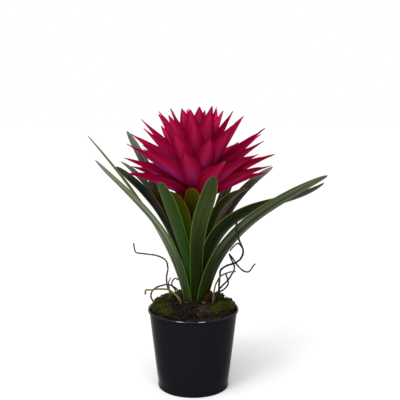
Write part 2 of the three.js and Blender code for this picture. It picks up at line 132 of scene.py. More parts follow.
# Name: diameter, finish, points from down in the soil to the free end.
ROOTS = {
    "root_left_tall": (2.1, "red", (
        (-29, -2, 110), (-29, -2, 127), (-33, -4, 136), (-36, -6, 147), (-36, -8, 157), (-34, -9, 167),
        (-37, -10, 179), (-49, -11, 186), (-67, -9, 188), (-77, -8, 190), (-79, -7, 195), (-80, -6, 202))),
    "root_left_arch": (2.3, "red", (
        (-17, -14, 110), (-17, -13, 127), (-22, -14, 140), (-32, -16, 147), (-44, -18, 146),
        (-54, -18, 140), (-57, -17, 132), (-53, -15, 120))),
    "root_left_pale": (2.6, "pale", (
        (-16, -21, 110), (-17, -21, 125), (-22, -21, 133), (-31, -22, 141), (-43, -23, 143),
        (-55, -24, 142), (-63, -25, 142), (-64, -26, 136))),
    "root_left_loop": (2.0, "red", (
        (-21, -5, 110), (-21, -6, 127), (-25, -6, 138), (-29, -6, 144), (-28, -8, 150),
        (-24, -9, 154), (-20, -9, 152))),
    "root_left_stub": (1.9, "pale", (
        (-32, 7, 110), (-32, 7, 124), (-33, 7, 134), (-34, 6, 143), (-31, 5, 151))),
    "root_right_curl": (2.6, "dark", (
        (34, -8, 110), (35, -8, 127), (35, -9, 140), (36, -11, 156), (37, -16, 167), (44, -25, 175),
        (54, -35, 181), (62, -49, 191), (64, -64, 205), (59, -78, 220), (54, -88, 235), (54, -92, 247))),
    "root_right_hairpin": (2.2, "dark", (
        (32, 2, 110), (33, 2, 123), (35, 1, 135), (42, 0, 143), (52, -1, 156), (56, -2, 168),
        (51, -4, 180), (49, -8, 187), (52, -12, 184), (59, -14, 174), (67, -14, 166), (75, -13, 164),
        (80, -12, 170), (84, -11, 175))),
    "root_right_olive": (2.3, "pale", (
        (27, -17, 110), (27, -17, 126), (28, -17, 137), (31, -19, 149), (37, -21, 160),
        (48, -23, 166), (57, -24, 167))),
    "root_right_bow": (2.2, "dark", (
        (27, -26, 110), (28, -26, 127), (33, -26, 138), (43, -27, 145), (47, -27, 153), (43, -26, 165))),
}
BRANCH = (1.9, ((63.5, -67, 208.5), (58, -66, 214.5), (52, -62, 210), (48, -58, 203)))

SOIL = {
    "radius": 57.6, "edge_height": 106, "crown_height": 124, "crown_power": 3.2, "lump": 1.4,
    "outline": ((0, 3.3), (46.5, 3.3), (47, 11), (57.6, 104)),
}
MOSS = {"ring": 47, "spread": 6, "cushion": 10.5, "rise": 6.5, "spacing": 14, "trim": 57.2, "seed": 3}
MOSS_ARCS = {"moss_left": (148, 228), "moss_right": (-46, 38), "moss_back": (62, 124)}

# ---- Fine shapes that only the scene has: millimetres and degrees ----

POT_FOOT = {"edge": 1.2, "flat": 4, "step": 0.5}
POT_RIM = {"roll": 0.9, "under": 0.4, "inner_drop": 2, "gloss_drop": 1.4}
BEVEL = {"slope": 30, "width": 1.1, "drop": 0.4, "shares": (0, 0.15, 0.85, 1)}
STEM = {
    "thick": 7.4, "thin": 4.6, "shoulder": 150, "neck": 200, "foot": 110,
    "first_ring": 112, "rings": 26, "groove": 0.93,
}
CRUMB = {
    "reach": 56, "fine": (0.7, 1.5), "coarse": (1.6, 2.8), "fine_share": 0.8, "lift": 0.35, "rough": 0.18,
}
CLOD = {"heap": ((-16, 11), (-40, 8)), "sizes": (2.6, 4.8), "reach": 54, "lift": 0.3, "flatness": 0.7}
FIBRE = {
    "front_share": 0.6, "front": ((9, 9), (-38, 6)), "anywhere": ((0, 26), (0, 26)), "reach": 53,
    "joints": 6, "joint_length": 1.7, "lifts": (0.5, 2.2), "radius": 0.28,
}
TUFT = {"heights": (0.45, 1), "width": 0.2, "lift": 0.35, "lean": 0.7}
ROOT = {
    "taper": (1.14, 0.96), "sides": 8, "wander": 0.5,
    "hairs": 4, "hair_steps": (0, 1.5, 3, 4.5), "hair_width": 0.16,
}
EDGE_THINNING = 0.6

# ---- Places of the lights, in metres ----

KEY_LIGHTS = {"key_left": (-0.89, -1.21, 1.3), "key_right": (0.61, -1.37, 1.3)}
SUN_PLACE = (-0.45, -0.7, 1.3)
LIT_POINT = Vector((0, 0, 0.2))


# ---- Settings that a user may change ----

def length_setting(name, description, default):
    return FloatProperty(
        name=name, description=description, default=default, min=0, unit="LENGTH", precision=4)


def colour_setting(name, description, code):
    return FloatVectorProperty(
        name=name, description=description, default=shade(code), size=4, min=0, max=1, subtype="COLOR")


def count_setting(name, description, default):
    return IntProperty(name=name, description=description, default=default, min=0)


class PotSettings(bpy.types.PropertyGroup):
    """Sizes and colour of the pot."""
    height: length_setting("Height", "Height of the pot to the top of its rim", POT_HIGH.z)
    rim_radius: length_setting("Rim radius", "Outer radius at the rim", POT_HIGH.x)
    lip_height: length_setting("Lip height", "Height of the band round the rim", 0.0032)
    lip_proud: length_setting("Lip proud", "How far the band stands out from the wall", 0.0015)
    foot_radius: length_setting("Foot radius", "Outer radius of the foot", 0.049)
    foot_height: length_setting("Foot height", "Height of the straight foot band", 0.011)
    wall: length_setting("Wall", "Thickness of the wall", 0.0022)
    floor: length_setting("Floor", "Thickness of the floor", 0.003)
    colour: colour_setting("Colour", "Colour of the glossy plastic", "#151419")


class GroundSettings(bpy.types.PropertyGroup):
    """Amounts and colours of the soil and the moss."""
    crumbs: count_setting("Crumbs", "Loose crumbs of bark and soil on the mound", 760)
    clods: count_setting("Clods", "Larger clods of soil heaped at the front left", 46)
    fibres: count_setting("Fibres", "Pale fibres lying in the soil", 120)
    tufts: count_setting("Tufts", "Moss tufts on each cushion", 230)
    tuft_length: length_setting("Tuft length", "Longest moss tuft", 0.0027)
    soil: colour_setting("Soil", "Main colour of the soil", "#281f19")
    fibre: colour_setting("Fibre", "Colour of the fibres", "#5c5836")
    moss: colour_setting("Moss", "Main colour of the moss", "#46481a")


class LeafSettings(bpy.types.PropertyGroup):
    """Thickness, fineness and margin colours of the leaves."""
    base_thickness: length_setting("Base thickness", "Thickness of a leaf at its base", 0.0015)
    tip_thickness: length_setting("Tip thickness", "Thickness of a leaf at its tip", 0.0007)
    wave: length_setting("Wave", "How far the margins wander up and down", 0.0007)
    columns: count_setting("Columns", "Faces across a leaf", 14)
    rows: count_setting("Rows", "Faces along a leaf", 54)
    margin: colour_setting("Margin", "Thin pale margin of the outer leaves", "#76862c")
    hot_margin: colour_setting("Warm margin", "Orange margin of the inner leaves", "#b04e14")


class HeadSettings(bpy.types.PropertyGroup):
    """Fineness and colours of the bract head."""
    columns: count_setting("Columns", "Faces across a bract", 8)
    rows: count_setting("Rows", "Faces along a bract", 18)
    crimson: colour_setting("Crimson", "Main colour of the bracts", "#aa0c44")
    # Colour of the painted violet sheen above the foot of a bract.
    flush: colour_setting("Flush", "Violet blush near the foot of a bract", "#d248c4")
    tip: colour_setting("Tip", "Dull tips of the outer bracts", "#5e4a4a")
    stem: colour_setting("Stem", "Colour of the stem", "#5c6b32")


class RootSettings(bpy.types.PropertyGroup):
    """Shape and colours of the air roots."""
    step: length_setting("Step", "Distance between sections along a root", 0.0014)
    knot: length_setting("Knot", "How much a root swells at its knots", 0.00022)
    red: colour_setting("Red brown", "Roots on the left", "#3a2220")
    dark: colour_setting("Dark", "Roots on the right", "#191616")
    pale: colour_setting("Pale", "Living olive roots", "#66623a")


class StageSettings(bpy.types.PropertyGroup):
    """Floor, lights and camera."""
    floor_colour: colour_setting("Floor", "Colour of the plain floor", "#fafafa")
    key_power: FloatProperty(
        name="Key light", description="Power of each of the two front softboxes", default=6, unit="POWER")
    sun_strength: FloatProperty(
        name="Sun", description="Strength of the wide soft light overhead", default=1.5)
    sky: FloatProperty(name="Sky", description="Strength of the light of the pale room", default=0.7)
    camera_place: FloatVectorProperty(
        name="Camera", description="Place of the camera", default=(0.0093, -1.0, 0.42),
        subtype="XYZ", unit="LENGTH")
    camera_pitch: FloatProperty(
        name="Pitch", description="How far the camera looks down", default=math.radians(9.1), subtype="ANGLE")
    lens: FloatProperty(name="Lens", description="Focal length in millimetres", default=67.86)


class BromeliadSettings(bpy.types.PropertyGroup):
    """Everything about the potted bromeliad that can be set."""
    pot: PointerProperty(type=PotSettings)
    ground: PointerProperty(type=GroundSettings)
    leaf: PointerProperty(type=LeafSettings)
    head: PointerProperty(type=HeadSettings)
    root: PointerProperty(type=RootSettings)
    stage: PointerProperty(type=StageSettings)


# ---- Shader graphs ----

class Finish:
    """One material and the few kinds of node that this plant's finishes are made of."""

    def __init__(self, name, roughness=0.5, specular=0.5):
        self.material = bpy.data.materials.new(name)
        self.material.use_nodes = True
        self.tree = self.material.node_tree
        self.shader = self.tree.nodes["Principled BSDF"]
        self.shader.inputs["Roughness"].default_value = roughness
        self.shader.inputs["Specular IOR Level"].default_value = specular

    def put(self, socket, value):
        """Feeds a socket from another socket, a plain number or a colour."""
        if isinstance(value, bpy.types.NodeSocket):
            self.tree.links.new(value, socket)
        else:
            socket.default_value = shade(value)

    def add(self, kind, inputs=(), **options):
        """A node with its options set and its input sockets fed."""
        node = self.tree.nodes.new(kind)
        for name, value in options.items():
            setattr(node, name, value)
        for socket, value in inputs:
            self.put(node.inputs[socket], value)
        return node

    def attribute(self, name):
        return self.add("ShaderNodeAttribute", attribute_name=name).outputs["Fac"]

    def place(self):
        """Object coordinates, in metres."""
        return self.add("ShaderNodeTexCoord").outputs["Object"]

    def maths(self, operation, a, b=0.0):
        return self.add("ShaderNodeMath", enumerate((a, b)), operation=operation).outputs[0]

    def times(self, product, *factors):
        for factor in factors:
            product = self.maths("MULTIPLY", product, factor)
        return product

    def band(self, value, low, high, to_low=0.0, to_high=1.0):
        """Smooth step of a value between two limits."""
        names = ("Value", "From Min", "From Max", "To Min", "To Max")
        inputs = zip(names, (value, low, high, to_low, to_high))
        return self.add("ShaderNodeMapRange", inputs, interpolation_type="SMOOTHSTEP").outputs["Result"]

    def mix(self, share, a, b):
        inputs = (("Factor", share), (6, a), (7, b))
        return self.add("ShaderNodeMix", inputs, data_type="RGBA", clamp_factor=True).outputs[2]

    def tint(self, body, colour, value, low, high, most=1.0):
        """Lays a colour over the body as far as a value goes from one limit to the other."""
        return self.mix(self.band(value, low, high, 0, most), body, colour)

    def vector(self, x=0.0, y=0.0, z=0.0):
        return self.add("ShaderNodeCombineXYZ", enumerate((x, y, z))).outputs[0]

    def cloud(self, vector, scale, detail=3.0, roughness=0.55):
        """Noise from 0 to 1."""
        names = ("Vector", "Scale", "Detail", "Roughness")
        return self.add("ShaderNodeTexNoise", zip(names, (vector, scale, detail, roughness))).outputs["Fac"]

    def speckle(self, *facts):
        """Noise laid through the object: its scale, detail and roughness."""
        return self.cloud(self.place(), *facts)

    def grains(self, scale):
        """Distance from the middle of the nearest grain."""
        inputs = (("Vector", self.place()), ("Scale", scale))
        return self.add("ShaderNodeTexVoronoi", inputs).outputs["Distance"]

    def ramp(self, value, *stops):
        """Colour by a value, from stops of (value, colour)."""
        node = self.add("ShaderNodeValToRGB", (("Fac", value),))
        elements = node.color_ramp.elements
        for element, (position, colour) in zip(elements, (stops[0], stops[-1])):
            element.position, element.color = position, shade(colour)
        for position, colour in stops[1:-1]:
            elements.new(position).color = shade(colour)
        return node.outputs["Color"]

    def ribs(self, across, pitch, height):
        """Height of the ribs that run along a leaf or a bract."""
        return self.times(self.maths("SINE", self.times(across, pitch)), height)

    def relief(self, height, distance, strength=1.0):
        """Raises the surface by a height field."""
        inputs = (("Strength", strength), ("Distance", distance), ("Height", height))
        self.put(self.shader.inputs["Normal"], self.add("ShaderNodeBump", inputs).outputs[0])

    def rough(self, value):
        self.put(self.shader.inputs["Roughness"], value)

    def colour(self, value):
        """Gives the surface its colour and hands the finished material over."""
        self.put(self.shader.inputs["Base Color"], value)
        return self.material


# Low, middle, upper and tip colours of a leaf, the darker colour of its streaks, and how much pale
# bloom, partly painted sheen, lies in bands along it.
LEAF_FINISHES = {
    "fresh": ("#0e1c00", "#182403", "#2e3d0e", "#303a14", "#0b1501", 0),
    "leafy": ("#163e01", "#20430a", "#2a3d12", "#304016", "#0e2602", 0),
    "sheen": ("#182203", "#182205", "#333b22", "#4a513c", "#0a1001", 0.25),
    "streaked": ("#182e06", "#3a482a", "#5b634e", "#6e7565", "#1c2a10", 0.75),
    "edge": ("#5e6a34", "#767f4c", "#6c744c", "#54563e", "#424a28", 0.2),
    "deep": ("#122203", "#16210b", "#1d2612", "#3e4332", "#0a1303", 0),
    # The dark leaf's colours are partly its own dark green and partly painted shade on its upper face.
    "dark": ("#0e1610", "#101816", "#141b1c", "#343a38", "#090e0d", 0.1),
    "dusky": ("#12161a", "#1c2226", "#484f48", "#8c9486", "#10141a", 0.2),
    "grey": ("#18211b", "#28322c", "#444c46", "#707870", "#121814", 0.25),
    "golden": ("#1a2e00", "#2e4800", "#3a5001", "#5a5406", "#122000", 0),
    "olive": ("#101800", "#172200", "#1e2a00", "#4c4a06", "#0b1200", 0),
    "shaded": ("#101c02", "#162204", "#1c2808", "#383e10", "#0b1201", 0),
}
BLOOM_AND_SHEEN_COLOUR = "#858c72"


def leaf_finish(name, kind, seed, leaf):
    """Ribbed strap leaf: colour along it, fine streaks, a thin margin and a soft gloss."""
    low, middle, upper, tip, dim, bloom_and_sheen = LEAF_FINISHES[kind]
    warm = "inner" in name
    finish = Finish(name, 0.45, 0.06)
    across, along = finish.attribute("across"), finish.attribute("along")
    off = finish.maths("ABSOLUTE", across)
    body = finish.ramp(along, (0.0, low), (0.42, middle), (0.8, upper), (1.0, tip))
    streaks = finish.cloud(finish.vector(finish.times(across, 5), along, seed), 2.4, 4)
    body = finish.tint(body, dim, streaks, 0.45, 0.7, 0.75)
    patches = finish.speckle(26, 3)
    body = finish.tint(body, darker(middle, 1.4), patches, 0.5, 0.72, 0.3)
    fine = finish.cloud(finish.vector(finish.times(across, 26), finish.times(along, 3), seed), 2, 2)
    body = finish.tint(body, tip, fine, 0.5, 0.68, 0.14)
    # Pale bloom and painted sheen, in bands along the upper part of the leaf.
    if bloom_and_sheen:
        lane = finish.maths("ABSOLUTE", finish.maths("SUBTRACT", off, 0.5))
        lane = finish.times(finish.band(lane, 0.34, 0.12), finish.band(streaks, 0.62, 0.42, 0.3, 1.0))
        body = finish.mix(finish.times(lane, finish.band(along, 0.25, 0.5), bloom_and_sheen), body, BLOOM_AND_SHEEN_COLOUR)
    body = finish.mix(finish.band(off, 0.015, 0.06, 0.35, 0.0), body, dim)
    strength = finish.band(along, 0.55, 0.98, 0.12, 1.0) if warm else 0.6
    margin = finish.times(finish.band(off, 0.89, 0.98), strength)
    body = finish.mix(margin, body, leaf.hot_margin if warm else leaf.margin)
    finish.relief(finish.maths("ADD", finish.ribs(across, 34, 0.5), fine), 0.00012, 0.5)
    finish.rough(finish.band(fine, 0.3, 0.7, 0.38, 0.52))
    return finish.colour(body)


def sheath_finish():
    """Dull red leaf base with dry brown patches."""
    finish = Finish("sheath_red", 0.6, 0.15)
    patches = finish.speckle(260, 4)
    body = finish.ramp(finish.attribute("along"), (0.0, "#180a01"), (0.4, "#4e1804"), (1.0, "#321002"))
    finish.relief(patches, 0.0004)
    return finish.colour(finish.tint(body, "#2c1a10", patches, 0.45, 0.65, 0.7))


def bract_finish(head):
    """Crimson bract: painted shade at its foot, a painted violet sheen above that, painted highlights,
    painted shade at its margins, and a dull tip on the lowest ones.
    """
    finish = Finish("bract_crimson", 0.5, 0.0)
    across, along = finish.attribute("across"), finish.attribute("along")
    tone, outer = finish.attribute("tone"), finish.attribute("outer")
    off = finish.maths("ABSOLUTE", across)
    body = finish.tint(darker(head.crimson, 0.66), darker(head.crimson, 1.3), tone, 0.0, 1.0)
    body = finish.tint(body, "#7c0422", outer, 0.1, 0.9, 0.6)
    warmth = finish.cloud(finish.vector(finish.times(tone, 37)), 1.0, 0)
    body = finish.tint(body, "#9a0a20", warmth, 0.45, 0.6, 0.5)
    streaks = finish.cloud(finish.vector(finish.times(across, 5), along, finish.times(tone, 9)), 3, 3)
    body = finish.tint(body, "#6e0320", streaks, 0.52, 0.75, 0.5)
    # Painted sheen: paler pink where the streak noise is low.
    body = finish.tint(body, "#b8184e", streaks, 0.48, 0.3, 0.45)
    # Painted shade: darker towards the foot of each bract.
    body = finish.tint(body, "#500220", along, 0.3, 0.06)
    # Painted highlight along the middle of the upper part of a bract.
    painted_highlight = finish.times(finish.band(off, 0.75, 0.0), finish.band(along, 0.3, 0.6), 0.4)
    body = finish.mix(painted_highlight, body, "#c42c62")
    # Painted sheen: a pale violet glow above the foot of a bract, stronger on some bracts.
    painted_sheen = finish.times(finish.band(along, 0.7, 0.46), finish.band(along, 0.2, 0.36),
                         finish.band(off, 0.7, 0.1), finish.band(tone, 0.35, 0.65, 0.1, 1.0), 0.95)
    body = finish.mix(painted_sheen, body, head.flush)
    # Painted shade: darker towards the margins of a bract.
    body = finish.tint(body, "#6c0426", off, 0.6, 1.0, 0.45)
    dull = finish.times(finish.band(along, 0.9, 0.99), finish.band(outer, 0.82, 1.0))
    body = finish.mix(dull, body, head.tip)
    finish.relief(finish.maths("ADD", finish.ribs(across, 18, 0.4), streaks), 0.00015, 0.6)
    finish.rough(finish.band(streaks, 0.3, 0.7, 0.46, 0.6))
    return finish.colour(body)


def stem_finish(head):
    """Green stem with darker spots."""
    finish = Finish("stem_green", 0.6, 0.3)
    spots = finish.speckle(180, 4)
    finish.relief(spots, 0.0003)
    return finish.colour(finish.tint(darker(head.stem, 0.6), head.stem, spots, 0.4, 0.7))


def pot_finish(name, gloss, pot):
    """Black plastic with the faintest orange peel and a little dust."""
    finish = Finish(name, 0.12, gloss)
    dust = finish.speckle(90, 5, 0.7)
    finish.relief(finish.speckle(420, 2), 0.00003, 0.35)
    finish.rough(finish.band(dust, 0.45, 0.75, 0.09, 0.18))
    return finish.colour(finish.tint(pot.colour, "#1c1b20", dust, 0.55, 0.85, 0.2))


def soil_finish(ground):
    """Dark crumbly soil: wet black and brown clumps with reddish grains."""
    finish = Finish("soil_crumbly", 0.95, 0.08)
    clumps, fine = finish.speckle(130, 5, 0.65), finish.speckle(620, 4, 0.7)
    body = finish.tint(darker(ground.soil, 0.35), ground.soil, clumps, 0.38, 0.62)
    finish.relief(finish.maths("ADD", fine, finish.grains(480)), 0.0011)
    return finish.colour(finish.tint(body, "#3c2c26", fine, 0.52, 0.7, 0.6))


def crumb_finish(ground):
    """Loose crumbs, each with a tone of its own."""
    finish = Finish("soil_crumbs", 0.93, 0.08)
    fine = finish.speckle(900, 4, 0.7)
    tones = ((0.0, "#0c0908"), (0.45, ground.soil), (0.75, "#38261f"), (0.92, "#40381f"), (1.0, "#5c5232"))
    body = finish.ramp(finish.attribute("tone"), *tones)
    finish.relief(fine, 0.0008)
    return finish.colour(finish.tint(body, darker(ground.soil, 0.4), fine, 0.45, 0.7, 0.6))


def fibre_finish(ground):
    """Pale dry fibres."""
    finish = Finish("soil_fibres", 0.85, 0.08)
    return finish.colour(finish.mix(finish.attribute("tone"), darker(ground.fibre, 0.35), ground.fibre))


def moss_finish(ground):
    """Moss: olive tufts with fresh green points and brown dry ones."""
    finish = Finish("moss_green", 0.95, 0.05)
    patch = finish.speckle(75, 4, 0.6)
    tones = ((0.0, "#231c10"), (0.3, darker(ground.moss, 0.35)), (0.7, ground.moss), (1.0, "#6a7028"))
    body = finish.ramp(finish.attribute("tone"), *tones)
    body = finish.tint(body, "#241c12", patch, 0.5, 0.68, 0.8)
    finish.relief(finish.speckle(900, 3), 0.0006)
    return finish.colour(finish.tint(body, "#1a150c", finish.attribute("along"), 0.2, 0.0, 0.7))


def root_finish(name, main, fleck):
    """Wiry root: bark in short flecks along it."""
    finish = Finish(name, 0.72, 0.12)
    bark = finish.vector(finish.times(finish.attribute("along"), 30), finish.attribute("around"))
    flecks, broad = finish.cloud(bark, 4, 4), finish.speckle(60, 3)
    body = finish.tint(main, fleck, flecks, 0.45, 0.7, 0.65)
    finish.relief(flecks, 0.0003)
    return finish.colour(finish.tint(body, darker(main, 0.55), broad, 0.5, 0.7, 0.5))


# ---- Mesh tools ----

def blend(s, values):
    """Cubic Bezier blend of four control values."""
    a, b, c, d = values
    t = 1 - s
    return a * t ** 3 + 3 * b * s * t ** 2 + 3 * c * s ** 2 * t + d * s ** 3


def lerp(a, b, share):
    return a + (b - a) * share


def polar(radius, angle, x=0, y=0):
    """Place at a distance and an angle round a point."""
    return x + radius * math.cos(angle), y + radius * math.sin(angle)


def random_way(draw, low=-1, high=1):
    """A drawn vector, whose upward share lies between two limits."""
    return Vector((draw.uniform(-1, 1), draw.uniform(-1, 1), draw.uniform(low, high)))


def drift(place):
    """Smooth noise along each axis, the same on every run."""
    return Vector(noise.noise(place + Vector((0, shift, 0))) for shift in (0, 31, 67))


def seeded(seed):
    """The frame's own seeded source of numbers from 0 to 1."""
    state = seed
    while True:
        state = (state * 16807) % 2147483647
        yield state / 2147483647


def placed(name, data):
    """A new object in the scene, at the origin."""
    thing = bpy.data.objects.new(name, data)
    bpy.context.scene.collection.objects.link(thing)
    return thing


def meshed(bm, name, material):
    """Makes an object of a bmesh, which is freed."""
    mesh = bpy.data.meshes.new(name)
    bm.to_mesh(mesh)
    bm.free()
    mesh.materials.append(material)
    return placed(name, mesh)


def finished(bm, name, material, nodes, sharp=math.radians(50)):
    """Makes the piece of a bmesh: normals out, smooth faces, its finish, its place on the root body."""
    bmesh.ops.recalc_face_normals(bm, faces=bm.faces)
    for face in bm.faces:
        face.smooth = True
    for edge in bm.edges:
        edge.smooth = not (edge.is_manifold and edge.calc_face_angle() > sharp)
    piece = meshed(bm, name, material)
    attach(piece, "root")
    if nodes:
        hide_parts(*nodes)
    return piece


def new_mesh(*layers):
    """An empty bmesh with named float layers on its vertices."""
    bm = bmesh.new()
    return bm, [bm.verts.layers.float.new(layer) for layer in layers]


def spun(bm, profile, steps):
    """Turns a profile of (radius, height) points about +Z and closes it on the axis."""
    verts = [bm.verts.new((radius, 0, height)) for radius, height in profile]
    edges = [bm.edges.new(pair) for pair in zip(verts, verts[1:])]
    bmesh.ops.spin(
        bm, geom=verts + edges, cent=(0, 0, 0), axis=(0, 0, 1), angle=math.tau, steps=steps, use_merge=True)
    bmesh.ops.remove_doubles(bm, verts=bm.verts, dist=1e-6)


def arc(centre, radius, start, end, steps):
    """Points on a round edge of a profile, from one angle to another."""
    angles = [math.radians(lerp(start, end, i / steps)) for i in range(steps + 1)]
    return [polar(radius, angle, *centre) for angle in angles]


def bearing(shape, s):
    """Direction of a blade's midrib, and the sideways direction, at a place along it."""
    heading = math.radians(shape["azimuth"] + shape.get("sway", 0) * s ** 1.5)
    pitch = math.radians(blend(s, shape["rises"]))
    level = math.cos(pitch)
    along = Vector((level * math.cos(heading), level * math.sin(heading), math.sin(pitch)))
    return along, Vector((-math.sin(heading), math.cos(heading), 0))


def station(v):
    return v + TIP_CROWDING * math.sin(math.pi * v) / math.pi


def midrib(shape, rows):
    """Frames along a blade, from its base to its tip: place, sideways and upwards."""
    frames, point, fine = [], Vector(shape["start"]), 8
    for row in range(rows + 1):
        s = station(row / rows)
        along, side = bearing(shape, s)
        frames.append((s, point.copy(), side, along.cross(side)))
        reach = station((row + 1) / rows) - s
        for i in range(fine):
            point = point + bearing(shape, s + reach * (i + 0.5) / fine)[0] * (shape["length"] * reach / fine)
    return frames


def add_blade(bm, layers, shape, columns, rows, extra=()):
    """A thin closed blade in millimetres on its midrib, hollow on the upper side.

    A grid is doubled by an extrusion, and each vertex is then placed by its share across and
    along the blade and by the face it is on.
    """
    across, along = layers[:2]
    grid = bmesh.ops.create_grid(bm, x_segments=columns, y_segments=rows, size=1)["verts"]
    for vert in grid:
        vert[across], vert[along] = vert.co.x, (vert.co.y + 1) / 2
        for layer, value in extra:
            vert[layer] = value
    skin = list({face for vert in grid for face in vert.link_faces})
    doubled = bmesh.ops.extrude_face_region(bm, geom=skin)["geom"]
    frames = midrib(shape, rows)
    fold, wave, seed = shape.get("fold", 0), shape.get("wave", 0), shape.get("seed", 0)
    faces = [(vert, 1) for vert in grid]
    faces += [(vert, -1) for vert in doubled if isinstance(vert, bmesh.types.BMVert)]
    for vert, face in faces:
        u = vert[across]
        s, point, side, up = frames[round(vert[along] * rows)]
        vert[along] = s
        rounding = math.sqrt(max(0.0, 1 - s ** shape["tip_round"])) if shape["tip_round"] else 1
        half = max(shape["min_width"], blend(s, shape["widths"]) * rounding) / 2
        cup = math.radians(blend(s, shape["cups"]))
        thickness = lerp(shape["base_thickness"], shape["tip_thickness"], s) * (1 - EDGE_THINNING * u * u)
        arc_radius = half / cup
        radius = arc_radius - face * thickness / 2
        lateral = radius * math.sin(cup * u)
        lift = arc_radius - radius * math.cos(cup * u)
        lift += fold * half * (abs(u) - 1) * (1 - s ** 6) * min(1, 3 * s)
        ripple = noise.noise(Vector((s * 7 + seed, 1.7 * u, seed * 0.37)))
        lift += wave * ripple * u * u * min(1, 2.5 * s)
        turn = math.radians(shape.get("roll", 0) * math.sin(s * math.pi / 2))
        place = point + side * (lateral * math.cos(turn) - lift * math.sin(turn))
        place += up * (lateral * math.sin(turn) + lift * math.cos(turn))
        vert.co = place * MM


def leaf_shape(azimuth, radius, widths):
    """Start and cups of a leaf whose base wraps round the stem."""
    x, y = polar(radius, math.radians(azimuth), PLANT["x"], PLANT["y"])
    middle = CUP["middle"] if radius > WHORL["C"] else CUP["inner"]
    return {
        "azimuth": azimuth, "start": (x, y, PLANT["base_height"]),
        "cups": (math.degrees(widths[0] / 2 / radius), middle, CUP["upper"], CUP["tip"]),
    }


def smooth_route(points, step):
    """Points, at about equal steps, on the centripetal Catmull-Rom curve through the given ones."""
    points = [Vector(point) for point in points]
    points = [2 * points[0] - points[1], *points, 2 * points[-1] - points[-2]]
    route = []
    for p0, p1, p2, p3 in zip(points, points[1:], points[2:], points[3:]):
        t1 = math.sqrt((p1 - p0).length)
        t2 = t1 + math.sqrt((p2 - p1).length)
        t3 = t2 + math.sqrt((p3 - p2).length)
        count = max(2, round((p2 - p1).length / step))
        for i in range(count):
            t = lerp(t1, t2, i / count)
            part = (t - t1) / (t2 - t1)
            a1, a2, a3 = p0.lerp(p1, t / t1), p1.lerp(p2, part), p2.lerp(p3, (t - t2) / (t3 - t2))
            b1, b2 = a1.lerp(a2, t / t2), a2.lerp(a3, (t - t1) / (t3 - t1))
            route.append(b1.lerp(b2, part))
    return [*route, points[-2]]


def add_strand(bm, layers, route, radius_at, sides):
    """A round strand with capped ends along a route. radius_at gives its radius at each share."""
    along, around = layers[:2]
    ring = bmesh.ops.create_circle(bm, cap_ends=True, segments=sides, radius=1)["verts"]
    for i, vert in enumerate(ring):
        vert[around] = math.cos(math.tau * i / sides)
    edges = list({edge for vert in ring for edge in vert.link_edges})
    last = Matrix.Identity(4)
    turn = (route[1] - route[0]).to_track_quat("Z", "Y")
    for i, point in enumerate(route):
        ahead = (route[min(i + 1, len(route) - 1)] - route[max(i - 1, 0)]).normalized()
        turn = (turn @ Vector((0, 0, 1))).rotation_difference(ahead) @ turn
        share = i / (len(route) - 1)
        now = Matrix.Translation(point) @ turn.to_matrix().to_4x4() @ Matrix.Scale(radius_at(share), 4)
        if i:
            grown = bmesh.ops.extrude_edge_only(bm, edges=edges)["geom"]
            ring = [part for part in grown if isinstance(part, bmesh.types.BMVert)]
            edges = [part for part in grown if isinstance(part, bmesh.types.BMEdge)]
        bmesh.ops.transform(bm, matrix=now @ last.inverted(), verts=ring)
        for vert in ring:
            vert[along] = share
        last = now
    bmesh.ops.contextual_create(bm, geom=edges)


def spot_on_soil(draw, facts):
    """A place drawn round a middle, from (middle, spread) for x and for y."""
    return [draw.gauss(*fact) for fact in facts]


# ---- Pieces ----

def settings():
    return bpy.context.scene.bromeliad


def soil_height(x, y):
    """Height in millimetres of the soil in the frame: a flattened mound with lumps."""
    fall = min(1, math.hypot(x, y) / SOIL["radius"]) ** SOIL["crown_power"]
    lumps = math.sin(0.31 * x + 1.3) * math.cos(0.27 * y + 0.4) + 0.6 * math.sin(0.52 * y - 0.38 * x)
    return lerp(SOIL["crown_height"], SOIL["edge_height"], fall) + SOIL["lump"] * lumps * (1 - 0.6 * fall)


class BROMELIAD_OT_pot(bpy.types.Operator):
    """Build the tapered pot of glossy black plastic"""
    bl_idname = "bromeliad.pot"
    bl_label = "Pot"

    def execute(self, context):
        pot = settings().pot
        height, rim, wall, foot = pot.height, pot.rim_radius, pot.wall, pot.foot_radius
        edge, step, roll = POT_FOOT["edge"] * MM, POT_FOOT["step"] * MM, POT_RIM["roll"] * MM
        body_top, lip_bottom = rim - pot.lip_proud, height - pot.lip_height

        def outside(level):
            share = (level - pot.foot_height) / (height - pot.foot_height)
            return lerp(foot + step, body_top, share)

        levels = (0.03, 0.06, 0.09, lip_bottom - POT_RIM["under"] * MM)
        profile = [(0, 0), (foot - edge - POT_FOOT["flat"] * MM, 0)]
        profile += arc((foot - edge, edge), edge, -90, 0, 5)
        profile += [(foot, pot.foot_height - step), (foot + step, pot.foot_height + step)]
        profile += [(outside(level), level) for level in levels]
        profile += arc((rim - roll, lip_bottom + roll), roll, -80, 0, 4)
        profile += self.bevel(rim, height)
        profile += arc((rim - roll, height - roll), roll, 60, 150, 5)
        profile += [
            (body_top - wall, height - POT_RIM["inner_drop"] * MM),
            (outside(pot.foot_height) - wall, pot.foot_height), (foot - wall, pot.floor), (0, pot.floor),
        ]
        bm, _ = new_mesh()
        spun(bm, profile, 144)
        for face in bm.faces:
            face.material_index = int(face.calc_center_median().z > height - POT_RIM["gloss_drop"] * MM)
        wall_finish = pot_finish("pot_plastic_black", 0.012, pot)
        piece = finished(bm, "pot_shell", wall_finish, ["pot"], math.radians(60))
        piece.data.materials.append(pot_finish("pot_rim_gloss", 0.26, pot))
        return {"FINISHED"}

    def bevel(self, rim, height):
        """Points on the rim's narrow bevel, which is the part that shines."""
        slope, width = math.radians(BEVEL["slope"]), BEVEL["width"] * MM
        inward, upward = width * math.sin(slope), width * math.cos(slope)
        foot = height - BEVEL["drop"] * MM - upward
        return [(rim - share * inward, foot + share * upward) for share in BEVEL["shares"]]


